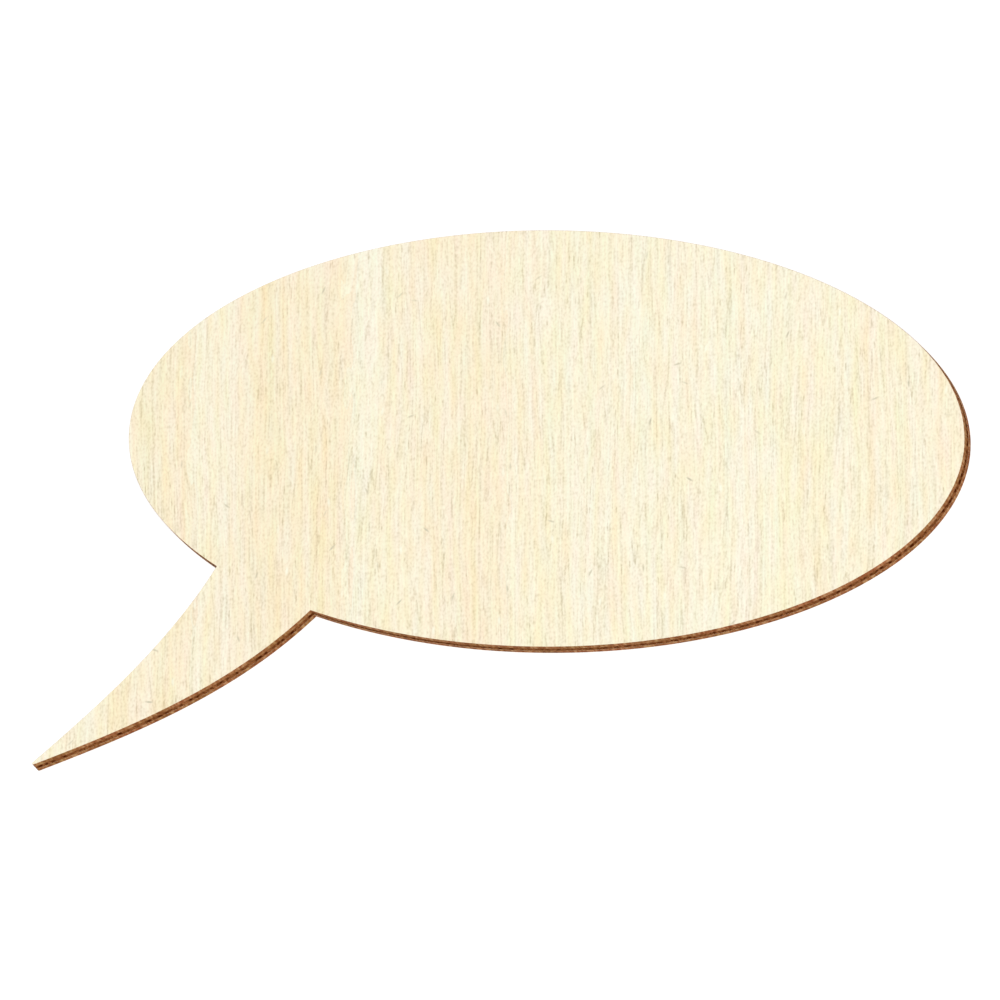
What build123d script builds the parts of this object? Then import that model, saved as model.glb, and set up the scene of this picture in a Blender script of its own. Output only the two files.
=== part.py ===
from build123d import *
from math import acos, degrees
import os

# A speech-bubble sign blank, laser cut in one pass from three-ply board. Millimetres and degrees.
# It lies on its back: X runs along the oval's long axis, Y up the sign, Z out of its front face.
# The origin is the oval's centre on the back face.

# The oval
bubble_length = 180.0
bubble_height = 87.7

# The tail's point, as the corner that its two sides would meet in, left of and below the oval's centre
tip_left = 95.4
tip_drop = 75.2

# Where the tail's two sides leave the oval, left of its centre
upper_root_left = 64.2
lower_root_left = 41.8

# The way each side sets off from the oval, and back from the point, measured from +X
upper_root_heading = -112.0
upper_tip_heading = 47.8
lower_root_heading = -128.5
lower_tip_heading = 25.2

# How far each of those headings pulls its side's curve, as a share of the side's chord
side_pull = 0.34

# Corners of the cut: the beam's own radius in the two notches, and the point dulled by the burn
notch_radius = 0.1
tip_radius = 0.3

# The board: two face plies and a crosswise core, with a film of glue on each side of the core
face_ply = 0.95
core_ply = 0.98
glue_film = 0.06

half_length = bubble_length / 2
half_height = bubble_height / 2
tip_corner = Vector(-tip_left, -tip_drop)
lower_root_angle = degrees(acos(lower_root_left / half_length)) - 180
upper_root_angle = degrees(acos(upper_root_left / half_length)) + 180
oval_sweep = upper_root_angle - lower_root_angle


def side_points(root, root_heading, tip_heading):
    """Control points of one side of the tail, from its root on the oval to the point."""
    pull = Vector((tip_corner - root).length * side_pull, 0)
    return (
        root,
        root + pull.rotate(Axis.Z, root_heading),
        tip_corner + pull.rotate(Axis.Z, tip_heading),
        tip_corner,
    )


# The cut line, shared by every layer
with BuildSketch() as bubble:
    with BuildLine():
        oval = EllipticalCenterArc(
            (0, 0), half_length, half_height, lower_root_angle, arc_size=oval_sweep
        )
        Bezier(*side_points(oval @ 1, upper_root_heading, upper_tip_heading))
        Bezier(*side_points(oval @ 0, lower_root_heading, lower_tip_heading))
    make_face()

# The layers from the back face up, each one lying on the one before
layers = [
    ("back_veneer", face_ply),
    ("back_glue_line", glue_film),
    ("core_veneer", core_ply),
    ("front_glue_line", glue_film),
    ("front_veneer", face_ply),
]

os.makedirs("parts", exist_ok=True)
layer_base = 0.0
for layer_name, thickness in layers:
    with BuildPart() as layer:
        with BuildSketch(Plane.XY.offset(layer_base)):
            add(bubble.sketch)
        extrude(amount=thickness)
        # From the left, the upright edges are the point and then the two notches
        fillet(layer.edges().filter_by(Axis.Z).sort_by(Axis.X)[1:], notch_radius)
        fillet(layer.edges().filter_by(Axis.Z).sort_by(Axis.X)[0], tip_radius)
    layer.part.label = layer_name
    export_step(layer.part, f"parts/{layer_name}.step")
    layer_base += thickness
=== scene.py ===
"""Dresses the speech-bubble sign blank: three wooden plies and two glue films, laser cut to one outline."""

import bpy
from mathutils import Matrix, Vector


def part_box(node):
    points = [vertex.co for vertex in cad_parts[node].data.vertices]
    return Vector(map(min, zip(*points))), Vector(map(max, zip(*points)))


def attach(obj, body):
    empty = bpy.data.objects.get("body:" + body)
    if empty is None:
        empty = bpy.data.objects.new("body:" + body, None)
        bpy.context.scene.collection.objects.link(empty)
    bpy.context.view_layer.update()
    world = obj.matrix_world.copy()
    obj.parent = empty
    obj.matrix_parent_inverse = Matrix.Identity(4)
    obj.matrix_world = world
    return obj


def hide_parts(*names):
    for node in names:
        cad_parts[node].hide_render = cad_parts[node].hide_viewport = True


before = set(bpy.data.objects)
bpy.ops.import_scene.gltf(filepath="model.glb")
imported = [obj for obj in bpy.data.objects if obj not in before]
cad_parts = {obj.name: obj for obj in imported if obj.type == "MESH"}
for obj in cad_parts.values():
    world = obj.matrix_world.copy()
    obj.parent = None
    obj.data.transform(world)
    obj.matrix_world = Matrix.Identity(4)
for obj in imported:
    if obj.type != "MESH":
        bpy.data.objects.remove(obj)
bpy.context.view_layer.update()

import math
import random

import bmesh
import bpy
from mathutils import Matrix, Vector
from mathutils.kdtree import KDTree

bl_info = {
    "name": "Speech Bubble Sign Blank",
    "version": (1, 0, 0),
    "blender": (4, 5, 0),
    "location": "3D View > Sidebar > Sign",
    "description": "Models a laser-cut plywood speech bubble, ply by ply, and its plain studio stage",
    "category": "Add Mesh",
}

MM = 0.001
# Places closer than this are the same place
NEAR = 1e-6
# Steps in the oval, in each side of the tail, and in one radius's length of the tail's point
OVAL_STEPS, SIDE_STEPS, POINT_STEPS = 1800, 240, 15


def linear(hex_colour):
    """An sRGB hex colour as linear red, green, blue and alpha."""
    shares = [int(hex_colour[place:place + 2], 16) / 255 for place in (1, 3, 5)]
    return [s / 12.92 if s <= 0.04045 else ((s + 0.055) / 1.055) ** 2.4 for s in shares] + [1.0]


WHITE = linear("#ffffff")


def length(name, millimetres, description):
    """A length property with its default given in millimetres."""
    return bpy.props.FloatProperty(
        name=name, description=description, default=millimetres * MM, unit="LENGTH", precision=5)


def colour(name, hex_colour, description):
    """A colour property with its default given as an sRGB hex colour."""
    return bpy.props.FloatVectorProperty(
        name=name, description=description, default=linear(hex_colour), size=4, subtype="COLOR",
        min=0.0, max=1.0)


def angle(name, degrees, description):
    """An angle property with its default given in degrees."""
    return bpy.props.FloatProperty(
        name=name, description=description, default=math.radians(degrees), subtype="ANGLE")


class SIGN_PG_outline(bpy.types.PropertyGroup):
    """The beam's path round the bubble, in the solids' sizes, but with the point burnt a little blunter."""
    bubble_length: length("Bubble length", 180.0, "Long axis of the oval")
    bubble_height: length("Bubble height", 87.7, "Short axis of the oval")
    tip_left: length("Tip left", 95.4, "From the oval's centre to the corner of the tail's point")
    tip_drop: length("Tip drop", 75.2, "From the oval's centre down to the corner of the tail's point")
    upper_root_left: length("Upper root", 64.2, "Where the tail's upper side leaves the oval")
    lower_root_left: length("Lower root", 41.8, "Where the tail's lower side leaves the oval")
    upper_root_heading: angle("Upper root heading", -112.0, "Way the upper side sets off from the oval")
    upper_tip_heading: angle("Upper tip heading", 47.8, "Way the upper side sets off from the point")
    lower_root_heading: angle("Lower root heading", -128.5, "Way the lower side sets off from the oval")
    lower_tip_heading: angle("Lower tip heading", 25.2, "Way the lower side sets off from the point")
    side_pull: bpy.props.FloatProperty(
        name="Side pull", description="How far a heading holds, as a share of the side's chord",
        default=0.34, subtype="FACTOR", min=0.0, max=1.0)
    notch_radius: length("Notch radius", 0.1, "Half the width of the cut, left in the two notches")
    tip_radius: length("Tip radius", 0.38, "Round of the tail's point")


class SIGN_PG_burn(bpy.types.PropertyGroup):
    """What the beam does to the cut wall."""
    taper: length("Taper", 0.09, "How far the cut wall leans in from the back face to the front")
    arris: length("Arris", 0.04, "Burnt round on the outer edges of the board")
    ripple: length("Ripple", 0.015, "Depth of the burn's unevenness on the face plies")
    core_recess: length("Core recess", 0.02, "How far the core and the glue burn back")
    pit_depth: length("Pit depth", 0.16, "Depth of the burnt-out pores in the core")
    pit_gap: length("Pit gap", 1.45, "Mean distance from one burnt-out pore to the next")


class SIGN_PG_colours(bpy.types.PropertyGroup):
    """The colours of the wood, of its cut wall and of the glue."""
    wood: colour("Wood", "#fdf5e0", "Sanded veneer between its fibres")
    vessel: colour("Vessel", "#dbd1b6", "The darkest vessels")
    pale: colour("Pale", "#fffee8", "The lightest fibres")
    fleck: colour("Fleck", "#cfc8ae", "Short stray fibres")
    pink: colour("Pink tint", "#fff8f8", "What the pink bands let through")
    cool: colour("Cool tint", "#faffff", "What the greyest bands let through")
    yellow: colour("Yellow tint", "#fefceb", "What the yellow bands let through")
    warm: colour("Warm tint", "#fffbf8", "What a band near the sheet's left side lets through")
    ring: colour("Ring tint", "#fff9f3", "What ends of growth rings and the sheet's right side let through")
    tanned: colour("Tanned", "#c29367", "The least burnt of the face plies' wall")
    browned: colour("Browned", "#a36a40", "Most of the face plies' wall")
    scorched: colour("Scorched", "#8b5029", "The darker streaks of the wall")
    charred: colour("Charred", "#683914", "The darker parts of the core's wall and of the lower edge")
    pore: colour("Pore", "#4a1b02", "Burnt-out pores in the core")
    olive: colour("Olive tint", "#f0fbe2", "What the wall's olive stretches let through")
    rose: colour("Rose tint", "#ffeeec", "What the wall's pink stretches let through")


class SIGN_PG_stage(bpy.types.PropertyGroup):
    """Table, camera and light."""
    laminate: colour("Laminate", "#e9e9e9", "The table top")
    table_size: length("Table size", 6000.0, "Width of the table")
    table_drop: length("Table drop", 0.02, "How far the table lies below the back face")
    table_lift: bpy.props.FloatProperty(
        name="Table lift", description="White that the table adds for the eye alone",
        default=0.35, subtype="FACTOR", min=0.0, max=1.0)
    azimuth: angle("Azimuth", 53.096, "Camera's way round the sign")
    elevation: angle("Elevation", 57.288, "Camera's height above the table")
    roll: angle("Roll", -45.0, "Camera's turn about its own axis")
    lens: bpy.props.FloatProperty(
        name="Lens", description="A very long lens, which keeps parallel lines parallel",
        default=1500.0, unit="CAMERA")
    frame_width: length("Frame width", 194.956, "What the picture spans at the front face")
    aim_right: length("Aim right", -6.580, "Where the camera aims on the face, from the oval's centre")
    aim_up: length("Aim up", -13.462, "Where the camera aims on the face, from the oval's centre")
    light_level: bpy.props.FloatProperty(
        name="Light level", description="Light on the face, where 1 brings matt white to picture white",
        default=1.010, min=0.0)
    key_share: bpy.props.FloatProperty(
        name="Key share", description="Share of the light on the face that comes from the soft box",
        default=0.6, subtype="FACTOR", min=0.0, max=1.0)
    key_elevation: angle("Key elevation", 62.0, "Soft box's height above the table")
    key_distance: length("Key distance", 6000.0, "From the sign to the soft box")
    key_size: length("Key size", 1000.0, "Width of the soft box")


def begin(operation, **settings):
    """Deselects all, runs an operator that adds an object, and returns that object."""
    bpy.ops.object.select_all(action="DESELECT")
    operation(**settings)
    return bpy.context.object


def pick(piece, kind, test):
    """In edit mode, selects just the vertices, edges or faces that pass the test."""
    bpy.context.tool_settings.mesh_select_mode = [kind == name for name in ("verts", "edges", "faces")]
    bpy.ops.mesh.select_all(action="DESELECT")
    shape = bmesh.from_edit_mesh(piece.data)
    for part in getattr(shape, kind):
        if test(part):
            part.select_set(True)
    shape.select_flush_mode()
    bmesh.update_edit_mesh(piece.data)


def heading(reach, turn):
    """A step of that reach in that direction on the face."""
    return Vector((reach * math.cos(turn), reach * math.sin(turn), 0))


def root_on_oval(sizes, left):
    """The point on the oval's lower half that lies that far left of its centre."""
    half_length = sizes.bubble_length / 2
    return Vector((-left, -sizes.bubble_height / 2 * math.sqrt(1 - (left / half_length) ** 2), 0))


def tail_side(sizes, root, root_heading, tip_heading):
    """Control points of one side of the tail, cut off where the round of the point begins."""
    tip = Vector((-sizes.tip_left, -sizes.tip_drop, 0))
    reach = (tip - root).length * sizes.side_pull
    points = [root, root + heading(reach, root_heading), tip + heading(reach, tip_heading), tip]
    half_point = (sizes.upper_tip_heading - sizes.lower_tip_heading) / 2
    share = 1 - sizes.tip_radius / math.tan(half_point) / (3 * reach)
    kept = [root]
    while len(points) > 1:
        points = [a.lerp(b, share) for a, b in zip(points, points[1:])]
        kept.append(points[0])
    return kept


def draw_cut_line(sizes):
    """Draws the beam's path as one closed loop of edges at the height of the back face."""
    upper_root = root_on_oval(sizes, sizes.upper_root_left)
    lower_root = root_on_oval(sizes, sizes.lower_root_left)
    upper = tail_side(sizes, upper_root, sizes.upper_root_heading, sizes.upper_tip_heading)
    lower = tail_side(sizes, lower_root, sizes.lower_root_heading, sizes.lower_tip_heading)

    # The tail is a curve of four points: root, the two ends of the point's round, root
    tail = begin(bpy.ops.curve.primitive_bezier_curve_add)
    spline = tail.data.splines[0]
    spline.bezier_points.add(2)
    tail.data.resolution_u = SIDE_STEPS
    round_turn = math.pi - (sizes.upper_tip_heading - sizes.lower_tip_heading)
    round_reach = 4 / 3 * math.tan(round_turn / 4) * sizes.tip_radius
    upper_way = (upper[3] - upper[2]).normalized() * round_reach
    lower_way = (lower[3] - lower[2]).normalized() * round_reach
    knots = [
        (upper[0], upper[0], upper[1]),
        (upper[3], upper[2], upper[3] + upper_way),
        (lower[3], lower[3] + lower_way, lower[2]),
        (lower[0], lower[1], lower[0]),
    ]
    for point, (place, before, after) in zip(spline.bezier_points, knots):
        point.handle_left_type = point.handle_right_type = "FREE"
        point.co, point.handle_left, point.handle_right = place, before, after
    bpy.ops.object.convert(target="MESH")

    # The oval is a circle drawn out to length, open between the tail's roots
    oval = begin(bpy.ops.mesh.primitive_circle_add, vertices=OVAL_STEPS, radius=sizes.bubble_length / 2)
    bpy.ops.object.mode_set(mode="EDIT")
    bpy.ops.transform.resize(value=(1, sizes.bubble_height / sizes.bubble_length, 1))
    room = sizes.notch_radius
    open_ends = 10 * room
    setback = 0.7 * room
    pick(oval, "verts", lambda v: v.co.y < 0 and upper_root.x - room < v.co.x < lower_root.x + room)
    bpy.ops.mesh.delete(type="VERT")
    bpy.ops.object.mode_set(mode="OBJECT")

    tail.select_set(True)
    bpy.ops.object.join()
    bpy.ops.object.mode_set(mode="EDIT")
    bpy.ops.mesh.select_all(action="SELECT")
    # The curve's steps round the point are far finer than the rest
    bpy.ops.mesh.remove_doubles(threshold=sizes.tip_radius / POINT_STEPS)
    # The oval's ends are joined to the tail's roots, and each notch keeps the round of the beam
    for root in (upper_root, lower_root):
        pick(oval, "verts", lambda v: len(v.link_edges) == 1 and (v.co - root).length < open_ends)
        bpy.ops.mesh.edge_face_add()
        pick(oval, "verts", lambda v: (v.co - root).length < NEAR)
        bpy.ops.mesh.bevel(affect="VERTICES", offset=setback, segments=4)
    bpy.ops.object.mode_set(mode="OBJECT")
    return oval


def in_order(line):
    """The corners of the cut line, walked once round the bubble."""
    beside = {}
    for edge in line.data.edges:
        first, second = edge.vertices
        beside.setdefault(first, []).append(second)
        beside.setdefault(second, []).append(first)
    before, here = None, 0
    corners = []
    while not corners or here:
        corners.append(line.data.vertices[here].co.copy())
        before, here = here, next(corner for corner in beside[here] if corner != before)
    return corners


def raise_wall(line, name, base, top, rows):
    """Lifts the cut line to the foot of a layer and extrudes it, row by row, into the layer's open wall."""
    line.name = line.data.name = name
    bpy.ops.object.mode_set(mode="EDIT")
    bpy.ops.mesh.select_all(action="SELECT")
    bpy.ops.transform.translate(value=(0, 0, base))
    for _ in range(rows):
        bpy.ops.mesh.extrude_edges_move(TRANSFORM_OT_translate={"value": (0, 0, (top - base) / rows)})
    bpy.ops.mesh.select_all(action="SELECT")
    bpy.ops.mesh.normals_make_consistent(inside=False)
    bpy.ops.object.mode_set(mode="OBJECT")
    return line


def burn_back(wall, depth, texture=None, group=""):
    """Eats the wall back by up to that depth, by a texture or by the weights of a vertex group."""
    heights = [vertex.co.z for vertex in wall.data.vertices]
    bpy.ops.object.modifier_add(type="DISPLACE")
    burn = wall.modifiers[-1]
    burn.direction = "NORMAL"
    burn.texture = texture
    burn.texture_coords = "LOCAL"
    burn.vertex_group = group
    burn.strength = -depth
    burn.mid_level = 0.0
    bpy.ops.object.modifier_apply(modifier=burn.name)
    # The beam eats sideways only
    for vertex, height in zip(wall.data.vertices, heights):
        vertex.co.z = height


def lean_in(wall, taper):
    """Leans the wall in towards the front face, as the beam's narrowing leaves it."""
    lean = wall.vertex_groups.new(name="lean")
    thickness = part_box("front_veneer")[1].z
    for vertex in wall.data.vertices:
        lean.add([vertex.index], vertex.co.z / thickness, "REPLACE")
    burn_back(wall, taper, group=lean.name)


def close_ends(wall, base, top, arris_at=None, arris=0.0):
    """Closes the wall with a flat face at each end, and rounds the edge of one of them."""
    bpy.ops.object.mode_set(mode="EDIT")
    for height in (base, top):
        pick(wall, "edges", lambda e: all(abs(v.co.z - height) < NEAR for v in e.verts))
        bpy.ops.mesh.edge_face_add()
    if arris_at is not None:
        pick(wall, "edges", lambda e: all(abs(v.co.z - arris_at) < NEAR for v in e.verts))
        bpy.ops.mesh.bevel(affect="EDGES", offset=arris, segments=3)
    bpy.ops.mesh.select_all(action="SELECT")
    bpy.ops.mesh.normals_make_consistent(inside=False)
    bpy.ops.object.mode_set(mode="OBJECT")
    bpy.ops.object.shade_smooth_by_angle(angle=math.radians(35))


def finish_layer(layer, node, face, edge):
    """Gives a layer the materials of its faces and its wall, and puts it in the place of its solid."""
    layer.data.materials.append(face)
    layer.data.materials.append(edge)
    low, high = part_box(node)
    for polygon in layer.data.polygons:
        # Only the two ends have more than four corners
        flat = len(polygon.vertices) > 4
        polygon.material_index = 0 if flat else 1
        polygon.use_smooth = not flat
    for corner in layer.bound_box:
        if any(not low[axis] - NEAR < corner[axis] < high[axis] + NEAR for axis in range(3)):
            raise RuntimeError(f"{layer.name} leaves the box of {node}")
    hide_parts(node)
    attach(layer, "root")


def new_tree(name):
    """A new material's node tree, emptied but for the output, and the material."""
    material = bpy.data.materials.new(name)
    material.use_nodes = True
    tree = material.node_tree
    tree.nodes.clear()
    tree.nodes.new("ShaderNodeOutputMaterial")
    return tree, material


def add_node(tree, kind, inputs, stops=(), **settings):
    """Adds a node with its settings, links or sets its inputs by name or number, and returns its outputs."""
    made = tree.nodes.new(kind)
    for name, value in settings.items():
        setattr(made, name, value)
    for socket, value in inputs.items():
        if isinstance(value, bpy.types.NodeSocket):
            tree.links.new(value, made.inputs[socket])
        else:
            made.inputs[socket].default_value = value
    for _ in stops[2:]:
        made.color_ramp.elements.new(0.5)
    for number, (position, shade) in enumerate(stops):
        made.color_ramp.elements[number].position = position
        made.color_ramp.elements[number].color = shade
    return made.outputs


def finish_wood(tree, shade, height, depth, roughness, gloss, spread=0.1):
    """Ends a wood's tree with its shader: matt, roughest in the hollows, bumped to a depth in mm."""
    bump = add_node(tree, "ShaderNodeBump", {"Strength": 0.5, "Distance": depth * MM, "Height": height})
    rough = add_node(tree, "ShaderNodeMapRange", {
        "Value": height, "To Min": roughness + spread, "To Max": roughness - spread})
    shader = add_node(tree, "ShaderNodeBsdfPrincipled", {
        "Base Color": shade, "Roughness": rough[0], "Specular IOR Level": gloss, "Normal": bump[0]})
    tree.links.new(shader[0], tree.nodes["Material Output"].inputs[0])


def add_fibres(tree, sheet, kinds, place=0.0):
    """Adds up noises drawn out along the grain, each (across mm, along mm, weight), to a level round 0.5."""
    level = 0.5
    for across, along, weight in kinds:
        drawn = add_node(tree, "ShaderNodeVectorMath", {
            0: sheet, 1: (1 / across, 1 / along, 0), 2: (place, place, 0)}, operation="MULTIPLY_ADD")
        noise = add_node(tree, "ShaderNodeTexNoise", {"Vector": drawn[0], "Scale": 1.0, "Detail": 0.0},
                         noise_dimensions="2D")
        even = add_node(tree, "ShaderNodeMath", {0: noise[0], 1: 0.5}, operation="SUBTRACT")
        level = add_node(tree, "ShaderNodeMath", {
            0: even[0], 1: weight, 2: level}, operation="MULTIPLY_ADD")[0]
    return level


def add_threads(tree, sheet, across, along, width, contour=0.57):
    """Long thin lines along the grain: one contour of a drawn-out noise, faded in places."""
    drawn = add_node(tree, "ShaderNodeVectorMath", {0: sheet, 1: (1 / across, 1 / along, 0)},
                     operation="MULTIPLY")
    noise = add_node(tree, "ShaderNodeTexNoise", {"Vector": drawn[0], "Scale": 1.0, "Detail": 0.0},
                     noise_dimensions="2D")
    lines = add_node(tree, "ShaderNodeMath", {
        0: noise[0], 1: contour, 2: width / across}, operation="COMPARE")
    fade = add_fibres(tree, sheet, [(across, along / 3, 2.4)])
    return add_node(tree, "ShaderNodeMath", {0: lines[0], 1: fade}, operation="MULTIPLY", use_clamp=True)[0]


def add_specks(tree, sheet, across, along, half_width, half_length, swing):
    """Short dashes, one at the heart of each cell, turned off the grain by up to the swing."""
    cells = add_node(tree, "ShaderNodeVectorMath", {0: sheet, 1: (1 / across, 1 / along, 0)},
                     operation="MULTIPLY")
    scatter = add_node(tree, "ShaderNodeTexVoronoi", {"Vector": cells[0], "Scale": 1.0},
                       voronoi_dimensions="2D")
    chance = add_node(tree, "ShaderNodeSeparateColor", {0: scatter["Color"]})
    offset = add_node(tree, "ShaderNodeVectorMath", {0: cells[0], 1: scatter["Position"]},
                      operation="SUBTRACT")
    offset = add_node(tree, "ShaderNodeVectorMath", {0: offset[0], 1: (across, along, 0)},
                      operation="MULTIPLY")
    turn = add_node(tree, "ShaderNodeMapRange", {"Value": chance[0], "To Min": -swing, "To Max": swing})
    turned = add_node(tree, "ShaderNodeVectorRotate", {"Vector": offset[0], "Angle": turn[0]},
                      rotation_type="Z_AXIS")
    shaped = add_node(tree, "ShaderNodeVectorMath", {
        0: turned[0], 1: (1 / half_width, 1 / half_length, 0)}, operation="MULTIPLY")
    reach = add_node(tree, "ShaderNodeVectorMath", {0: shaped[0]}, operation="LENGTH")
    heart = add_node(tree, "ShaderNodeMapRange", {
        "Value": reach["Value"], "From Min": 1.0, "From Max": 0.3})
    return add_node(tree, "ShaderNodeMath", {0: heart[0], 1: chance[1]}, operation="MULTIPLY")[0]


# Sanded poplar veneer
# It is rotary-cut, so its fine vessels show as dashes and long faint threads, all one way, with a few stray
# fibres across them. The pale cream between drifts to grey, pink and yellow in soft bands, darkens to the
# end of each growth ring, and is a little warmer near both sides.

GRAIN_HEADING = math.radians(103.0)
# Each noise is so many millimetres across the grain and along it, and weighs so much
WANDER = [(14.0, 45.0, 1.6), (5.0, 11.0, 0.3)]
CROWDING = [(3.0, 25.0, 1.5)]
VESSELS = [(0.40, 0.57, 0.40), (0.46, 0.97, 0.27), (0.44, 3.7, 0.25), (0.44, 15.0, 0.25), (0.49, 90.0, 0.25)]
PINK_BANDS = [(1.6, 9.0, 0.75), (2.2, 60.0, 0.50), (8.0, 160.0, 0.40)]
YELLOW_BANDS = [(1.5, 10.0, 0.80), (2.2, 70.0, 0.60), (7.0, 160.0, 0.65)]
# Distance from thread to thread, their length and their width, in millimetres
THREADS = (1.7, 26.0, 0.055)
# Each cell across and along the grain, its dash's half width and half length, in millimetres, and the swing
DARK_DASHES = (1.2, 4.2, 0.21, 1.2, 0.02)
PALE_DASHES = (1.7, 5.0, 0.20, 1.3, 0.02)
STRAY_FIBRES = (14.0, 14.0, 0.28, 1.05, 1.4)
PALE_SPOTS = (17.0, 17.0, 0.40, 1.20, 0.2)
# Millimetres from ring to ring, where in a ring the front ply's middle lies, as a share of that, and the
# millimetres by which the yellow bands shift a ring's end
RING_SPACING, RING_START, RING_SHIFT = 33.2, 0.15, 6.0
# Places across the sheet, in millimetres from the front ply's middle
RINGS_GONE, RINGS_FULL = 20.0, -10.0
LEFT_SIDE, RIGHT_SIDE = -72.0, 130.0


def sanded_poplar(name, colours, place, grain_heading=GRAIN_HEADING):
    """Raw sanded veneer, from a place of its own in the sheet."""
    tree, material = new_tree(name)
    spot = add_node(tree, "ShaderNodeTexCoord", {})["Object"]
    # Millimetres, X across the grain and Y along it
    sheet = add_node(tree, "ShaderNodeMapping", {
        "Vector": spot, "Location": place, "Rotation": (0, 0, math.pi / 2 - grain_heading),
        "Scale": (1 / MM, 1 / MM, 1 / MM)})[0]
    # The fibres wander sideways by up to a millimetre in half a hand's length
    wander = add_fibres(tree, sheet, WANDER)
    sideways = add_node(tree, "ShaderNodeCombineXYZ", {"X": wander})
    grain = add_node(tree, "ShaderNodeVectorMath", {0: sheet, 1: sideways[0]}, operation="ADD")[0]

    fibres = add_fibres(tree, grain, VESSELS)
    threads = add_threads(tree, grain, *THREADS)
    crowding = add_fibres(tree, grain, CROWDING, place=12.3)
    dashes = add_node(tree, "ShaderNodeMath", {
        0: add_specks(tree, grain, *DARK_DASHES), 1: crowding}, operation="MULTIPLY", use_clamp=True)[0]
    pale_dashes = add_specks(tree, grain, *PALE_DASHES)
    for lines, weight in ((threads, -0.20), (dashes, -0.48), (pale_dashes, 0.36)):
        fibres = add_node(tree, "ShaderNodeMath", {
            0: lines, 1: weight, 2: fibres}, operation="MULTIPLY_ADD")[0]
    wood = add_node(tree, "ShaderNodeValToRGB", {"Fac": fibres}, stops=[
        (0.0, colours.vessel), (0.5, colours.wood), (0.78, colours.pale)])[0]

    across = add_node(tree, "ShaderNodeSeparateXYZ", {0: grain})[0]
    side = add_node(tree, "ShaderNodeMapRange", {
        "Value": across, "From Min": LEFT_SIDE, "From Max": RIGHT_SIDE})[0]
    pinkness = add_fibres(tree, grain, PINK_BANDS, place=31.4)
    yellowness = add_fibres(tree, grain, YELLOW_BANDS, place=57.8)
    # Each growth ring darkens slowly and ends at a ragged line, and they fade out towards the right
    ragged = add_node(tree, "ShaderNodeMath", {
        0: yellowness, 1: RING_SHIFT, 2: across}, operation="MULTIPLY_ADD")
    grown = add_node(tree, "ShaderNodeMath", {
        0: ragged[0], 1: 1 / RING_SPACING, 2: RING_START}, operation="MULTIPLY_ADD")
    fading = add_node(tree, "ShaderNodeMapRange", {
        "Value": across, "From Min": RINGS_GONE, "From Max": RINGS_FULL})
    rings = add_node(tree, "ShaderNodeMath", {0: grown[0]}, operation="FRACT")
    rings = add_node(tree, "ShaderNodeMath", {0: rings[0], 1: fading[0]}, operation="MULTIPLY")[0]
    tints = [(pinkness, [(0.0, colours.cool), (0.5, WHITE), (1.0, colours.pink)]),
             (yellowness, [(0.2, WHITE), (1.0, colours.yellow)]),
             (side, [(0.0, WHITE), (0.06, colours.warm), (0.13, WHITE), (0.60, WHITE), (1.0, colours.ring)]),
             (rings, [(0.0, WHITE), (1.0, colours.ring)])]
    for level, stops in tints:
        tint = add_node(tree, "ShaderNodeValToRGB", {"Fac": level}, stops=stops)[0]
        wood = add_node(tree, "ShaderNodeVectorMath", {0: wood, 1: tint}, operation="MULTIPLY")[0]

    # Stray dark fibres at all angles, and pale spots where the sander lifted the surface
    for shade, specks in ((colours.fleck, STRAY_FIBRES), (colours.pale, PALE_SPOTS)):
        wood = add_node(tree, "ShaderNodeMix", {
            0: add_specks(tree, sheet, *specks), 6: wood, 7: shade}, data_type="RGBA")[2]
    finish_wood(tree, wood, fibres, depth=0.03, roughness=0.75, gloss=0.25)
    return material


# Cut walls
# The beam browns the face plies unevenly, in streaks down the wall that drift from olive to pink, and the
# lower edge is darker in patches. It chars the core, whose pores show darkest, and the resin between.

def add_streaks(tree, wide, tall):
    """A noise in streaks down the wall, in millimetres."""
    spot = add_node(tree, "ShaderNodeTexCoord", {})["Object"]
    drawn = add_node(tree, "ShaderNodeMapping", {
        "Vector": spot, "Scale": (1 / (wide * MM), 1 / (wide * MM), 1 / (tall * MM))})
    return add_node(tree, "ShaderNodeTexNoise", {
        "Vector": drawn[0], "Scale": 1.0, "Detail": 2.0, "Roughness": 0.6})[0]


def browned_edge(colours):
    """Laser-browned poplar: the cut wall of the face plies."""
    tree, material = new_tree("laser_browned_poplar")
    streaks = add_streaks(tree, 0.8, 2.5)
    wood = add_node(tree, "ShaderNodeValToRGB", {"Fac": streaks}, stops=[
        (0.35, colours.scorched), (0.5, colours.browned), (0.65, colours.tanned)])[0]
    drift = add_node(tree, "ShaderNodeValToRGB", {"Fac": add_streaks(tree, 7.0, 2.0)}, stops=[
        (0.3, colours.olive), (0.5, WHITE), (0.7, colours.rose)])[0]
    wood = add_node(tree, "ShaderNodeVectorMath", {0: wood, 1: drift}, operation="MULTIPLY")[0]
    height = add_node(tree, "ShaderNodeSeparateXYZ", {
        0: add_node(tree, "ShaderNodeTexCoord", {})["Object"]})["Z"]
    # Darker in patches towards the wall's foot, below half a millimetre, where it stands on the table
    low = add_node(tree, "ShaderNodeMapRange", {
        "Value": height, "From Min": 0.45 * MM, "From Max": 0.05 * MM})[0]
    patches = add_node(tree, "ShaderNodeMapRange", {
        "Value": add_streaks(tree, 4.0, 9.0), "From Min": 0.5, "From Max": 0.65, "To Max": 0.68})[0]
    darker_foot = add_node(tree, "ShaderNodeMath", {0: low, 1: patches}, operation="MULTIPLY")[0]
    wood = add_node(tree, "ShaderNodeMix", {0: darker_foot, 6: wood, 7: colours.charred}, data_type="RGBA")[2]
    finish_wood(tree, wood, streaks, depth=0.03, roughness=0.8, gloss=0.1)
    return material


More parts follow.
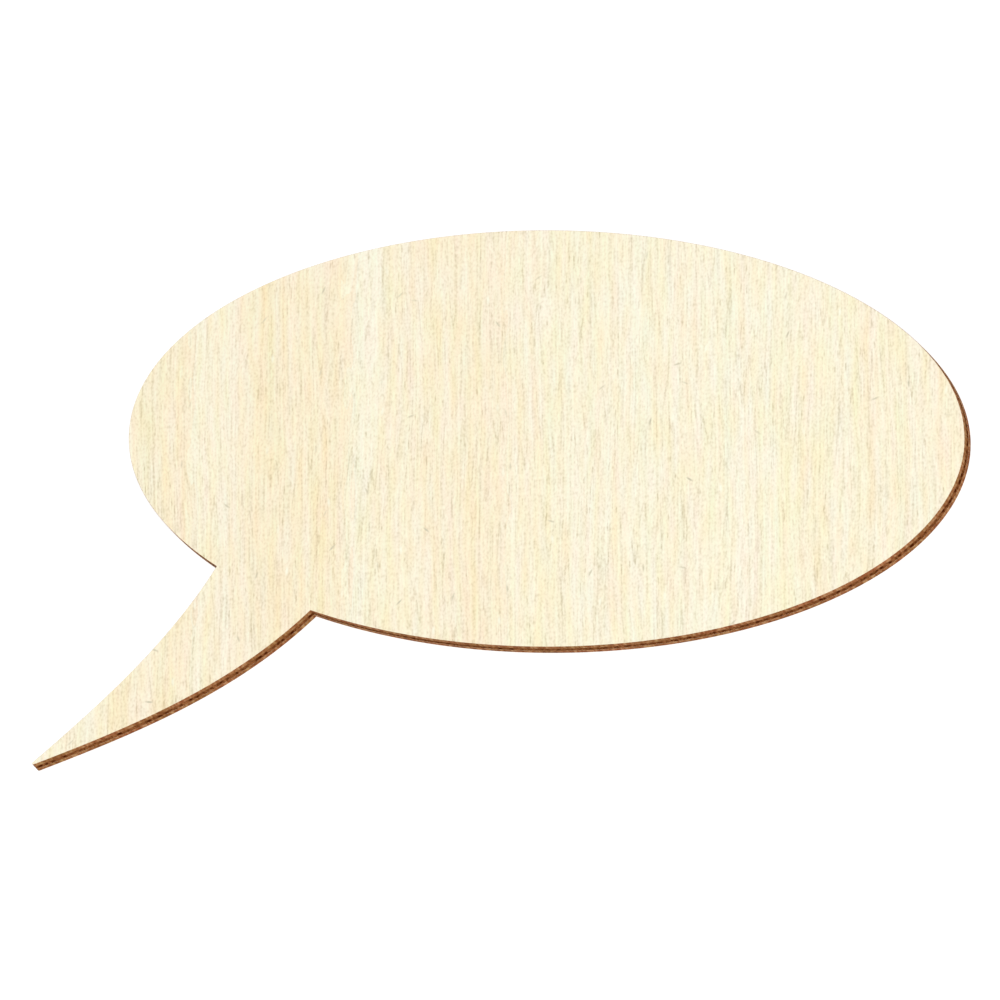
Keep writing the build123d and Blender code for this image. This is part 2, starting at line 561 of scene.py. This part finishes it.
def charred_core(colours):
    """Laser-charred poplar: the cut wall of the core, with its burnt-out pores."""
    tree, material = new_tree("laser_charred_poplar")
    streaks = add_streaks(tree, 0.6, 0.9)
    wood = add_node(tree, "ShaderNodeValToRGB", {"Fac": streaks}, stops=[
        (0.35, colours.charred), (0.65, colours.browned)])[0]
    pits = add_node(tree, "ShaderNodeAttribute", {}, attribute_name="burnt_pit")["Fac"]
    pores = add_node(tree, "ShaderNodeMapRange", {"Value": pits, "From Min": 0.05, "From Max": 0.7})[0]
    wood = add_node(tree, "ShaderNodeMix", {0: pores, 6: wood, 7: colours.pore}, data_type="RGBA")[2]
    finish_wood(tree, wood, streaks, depth=0.04, roughness=0.9, gloss=0.0)
    return material


def charred_glue(colours):
    """Cured resin, browned at the cut: a thin dark line, a little glossier than the wood."""
    tree, material = new_tree("charred_resin_glue")
    streaks = add_streaks(tree, 0.5, 0.5)
    resin = add_node(tree, "ShaderNodeValToRGB", {"Fac": streaks}, stops=[
        (0.3, colours.charred), (0.7, colours.scorched)])[0]
    finish_wood(tree, resin, streaks, depth=0.01, roughness=0.55, gloss=0.2)
    return material


class SIGN_OT_face_plies(bpy.types.Operator):
    """Models the front and the back ply, with the ripple of the burn and a fine arris"""
    bl_idname = "sign.face_plies"
    bl_label = "Face Plies"
    bl_options = {"REGISTER", "UNDO"}

    def execute(self, context):
        scene = context.scene
        ripple = bpy.data.textures.new("burn_ripple", "CLOUDS")
        ripple.noise_scale = 0.6 * MM
        edge = browned_edge(scene.sign_colours)
        for node, name, place in (("front_veneer", "front_ply", (0, 0, 0)),
                                  ("back_veneer", "back_ply", (311, 173, 0))):
            low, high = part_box(node)
            ply = raise_wall(draw_cut_line(scene.sign_outline), name, low.z, high.z, rows=6)
            lean_in(ply, scene.sign_burn.taper)
            burn_back(ply, scene.sign_burn.ripple, ripple)
            outside = high.z if name == "front_ply" else low.z
            close_ends(ply, low.z, high.z, outside, scene.sign_burn.arris)
            face = sanded_poplar(f"sanded_poplar_{name}", scene.sign_colours, place)
            finish_layer(ply, node, face, edge)
        return {"FINISHED"}


class SIGN_OT_core_ply(bpy.types.Operator):
    """Models the crosswise core, burnt back and pitted along its cut wall"""
    bl_idname = "sign.core_ply"
    bl_label = "Core Ply"
    bl_options = {"REGISTER", "UNDO"}

    def execute(self, context):
        scene = context.scene
        low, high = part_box("core_veneer")
        line = draw_cut_line(scene.sign_outline)
        corners = in_order(line)
        ply = raise_wall(line, "core_ply", low.z, high.z, rows=8)
        lean_in(ply, scene.sign_burn.taper)
        burn_back(ply, scene.sign_burn.core_recess)
        self.pit(ply, corners, scene.sign_burn, low.z, high.z)
        close_ends(ply, low.z, high.z)
        crosswise = GRAIN_HEADING - math.pi / 2
        face = sanded_poplar("sanded_poplar_core", scene.sign_colours, (97, 41, 0), crosswise)
        finish_layer(ply, "core_veneer", face, charred_core(scene.sign_colours))
        return {"FINISHED"}

    def pit(self, ply, corners, burn, base, top):
        """Sinks burnt-out pores into the wall at uneven steps, deepest where the cut shows end grain."""
        chance = random.Random(7)
        spots = KDTree(len(ply.data.vertices))
        for vertex in ply.data.vertices:
            spots.insert(vertex.co, vertex.index)
        spots.balance()
        weights = [0.0] * len(ply.data.vertices)
        face_grain = heading(1.0, GRAIN_HEADING)
        walked, due = 0.0, 0.0
        for here, there in zip(corners, corners[1:]):
            walked += (there - here).length
            if walked < due:
                continue
            due = walked + burn.pit_gap * chance.uniform(0.4, 1.6)
            end_grain = abs((there - here).normalized().dot(face_grain))
            centre = here + Vector((0, 0, base + (top - base) * chance.uniform(0.3, 0.55)))
            half_length = MM * chance.uniform(0.3, 0.6)
            half_height = MM * chance.uniform(0.3, 0.5)
            depth = chance.uniform(0.1, 1.0) + 0.3 * end_grain
            for place, index, _ in spots.find_range(centre, half_length):
                away = place - centre
                spread = (away.x ** 2 + away.y ** 2) / half_length ** 2 + (away.z / half_height) ** 2
                if spread < 1:
                    weights[index] = max(weights[index], min(1.0, depth * (1 - spread ** 2)))
        kept = ply.data.attributes.new("burnt_pit", "FLOAT", "POINT")
        kept.data.foreach_set("value", weights)
        group = ply.vertex_groups.new(name="pits")
        for index, weight in enumerate(weights):
            if weight:
                group.add([index], weight, "REPLACE")
        burn_back(ply, burn.pit_depth, group="pits")


class SIGN_OT_glue_lines(bpy.types.Operator):
    """Models the two films of glue, burnt back with the core"""
    bl_idname = "sign.glue_lines"
    bl_label = "Glue Lines"
    bl_options = {"REGISTER", "UNDO"}

    def execute(self, context):
        scene = context.scene
        resin = charred_glue(scene.sign_colours)
        for node, name in (("front_glue_line", "front_glue_film"), ("back_glue_line", "back_glue_film")):
            low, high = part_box(node)
            film = raise_wall(draw_cut_line(scene.sign_outline), name, low.z, high.z, rows=1)
            lean_in(film, scene.sign_burn.taper)
            burn_back(film, scene.sign_burn.core_recess)
            close_ends(film, low.z, high.z)
            finish_layer(film, node, resin, resin)
        return {"FINISHED"}


class SIGN_OT_stage(bpy.types.Operator):
    """Sets a white table, a soft box on the camera's side and the camera"""
    bl_idname = "sign.stage"
    bl_label = "Stage"
    bl_options = {"REGISTER", "UNDO"}

    def execute(self, context):
        scene, stage = context.scene, context.scene.sign_stage
        scene.view_settings.view_transform = "Standard"
        table = begin(bpy.ops.mesh.primitive_plane_add, size=stage.table_size,
                      location=(0, 0, -stage.table_drop))
        table.name = "table"
        bpy.ops.object.transform_apply(location=True)
        table.data.materials.append(self.white_laminate(stage))
        scene.world = self.white_room((1 - stage.key_share) * stage.light_level)
        self.soft_box(stage)
        scene.camera = self.camera(stage)
        return {"FINISHED"}

    def way(self, azimuth, elevation):
        """The way from the sign to something at that azimuth and elevation."""
        flat = math.cos(elevation)
        return Vector((math.sin(azimuth) * flat, -math.cos(azimuth) * flat, math.sin(elevation)))

    def seen(self, tree):
        """One for the rays that show a surface: the camera's, and those that gloss and glass send on."""
        path = add_node(tree, "ShaderNodeLightPath", {})
        shown = add_node(tree, "ShaderNodeMath", {
            0: path["Is Camera Ray"], 1: path["Is Glossy Ray"]}, operation="MAXIMUM")
        return add_node(tree, "ShaderNodeMath", {
            0: shown[0], 1: path["Is Transmission Ray"]}, operation="MAXIMUM")[0]

    def white_laminate(self, stage):
        """Matt white laminate, lifted for the eye to pure white, so that only a shadow shows on it."""
        tree, material = new_tree("white_laminate")
        matt = add_node(tree, "ShaderNodeBsdfDiffuse", {"Color": stage.laminate})
        lift = add_node(tree, "ShaderNodeMath", {
            0: self.seen(tree), 1: stage.table_lift}, operation="MULTIPLY")
        glow = add_node(tree, "ShaderNodeEmission", {"Strength": lift[0]})
        both = add_node(tree, "ShaderNodeAddShader", {0: matt[0], 1: glow[0]})
        tree.links.new(both[0], tree.nodes["Material Output"].inputs[0])
        return material

    def white_room(self, strength):
        """Even light from all round, seen as plain white."""
        room = bpy.data.worlds.new("white_room")
        room.use_nodes = True
        tree = room.node_tree
        tree.nodes.clear()
        light = add_node(tree, "ShaderNodeBackground", {"Color": WHITE, "Strength": strength})
        view = add_node(tree, "ShaderNodeBackground", {"Color": WHITE})
        shown = add_node(tree, "ShaderNodeMixShader", {0: self.seen(tree), 1: light[0], 2: view[0]})
        add_node(tree, "ShaderNodeOutputWorld", {"Surface": shown[0]})
        return room

    def soft_box(self, stage):
        """A soft box above the camera's line of sight, so that the thin shadow falls behind the board."""
        way = self.way(stage.azimuth, stage.key_elevation)
        box = begin(bpy.ops.object.light_add, type="AREA", location=way * stage.key_distance)
        box.name = "soft_box"
        box.data.shape = "DISK"
        box.data.size = stage.key_size
        # The power that lights a white face up to this share of white in the picture
        share = stage.key_share * stage.light_level
        box.data.energy = share * (math.pi * stage.key_distance) ** 2 / way.z
        box.rotation_euler = way.to_track_quat("Z", "Y").to_euler()

    def camera(self, stage):
        """A camera with a very long lens, aimed at the front face."""
        back = self.way(stage.azimuth, stage.elevation)
        level = Vector((0, 0, 1)).cross(back).normalized()
        roll = Matrix.Rotation(stage.roll, 3, back)
        axes = Matrix((roll @ level, roll @ back.cross(level), back)).transposed()
        camera = begin(bpy.ops.object.camera_add)
        camera.name = "camera"
        camera.data.lens = stage.lens
        aim = Vector((stage.aim_right, stage.aim_up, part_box("front_veneer")[1].z))
        distance = stage.frame_width * stage.lens / camera.data.sensor_width
        camera.matrix_world = Matrix.Translation(aim + back * distance) @ axes.to_4x4()
        return camera


class SIGN_PT_sign(bpy.types.Panel):
    """The sign's steps, sizes and colours in the sidebar"""
    bl_idname = "SIGN_PT_sign"
    bl_label = "Speech Bubble Sign"
    bl_space_type = "VIEW_3D"
    bl_region_type = "UI"
    bl_category = "Sign"

    def draw(self, context):
        for step in STEPS:
            self.layout.operator(step.bl_idname)
        for name, group in SETTINGS.items():
            box = self.layout.box()
            for setting in group.__annotations__:
                box.prop(getattr(context.scene, name), setting)


SETTINGS = {"sign_outline": SIGN_PG_outline, "sign_burn": SIGN_PG_burn, "sign_colours": SIGN_PG_colours,
            "sign_stage": SIGN_PG_stage}
STEPS = [SIGN_OT_face_plies, SIGN_OT_core_ply, SIGN_OT_glue_lines, SIGN_OT_stage]


def register():
    for each in (*SETTINGS.values(), *STEPS, SIGN_PT_sign):
        bpy.utils.register_class(each)
    for name, group in SETTINGS.items():
        setattr(bpy.types.Scene, name, bpy.props.PointerProperty(type=group))


def unregister():
    for name in SETTINGS:
        delattr(bpy.types.Scene, name)
    for each in reversed((*SETTINGS.values(), *STEPS, SIGN_PT_sign)):
        bpy.utils.unregister_class(each)


def main():
    register()
    bpy.ops.sign.face_plies()
    bpy.ops.sign.core_ply()
    bpy.ops.sign.glue_lines()
    bpy.ops.sign.stage()


if __name__ == "__main__":
    main()
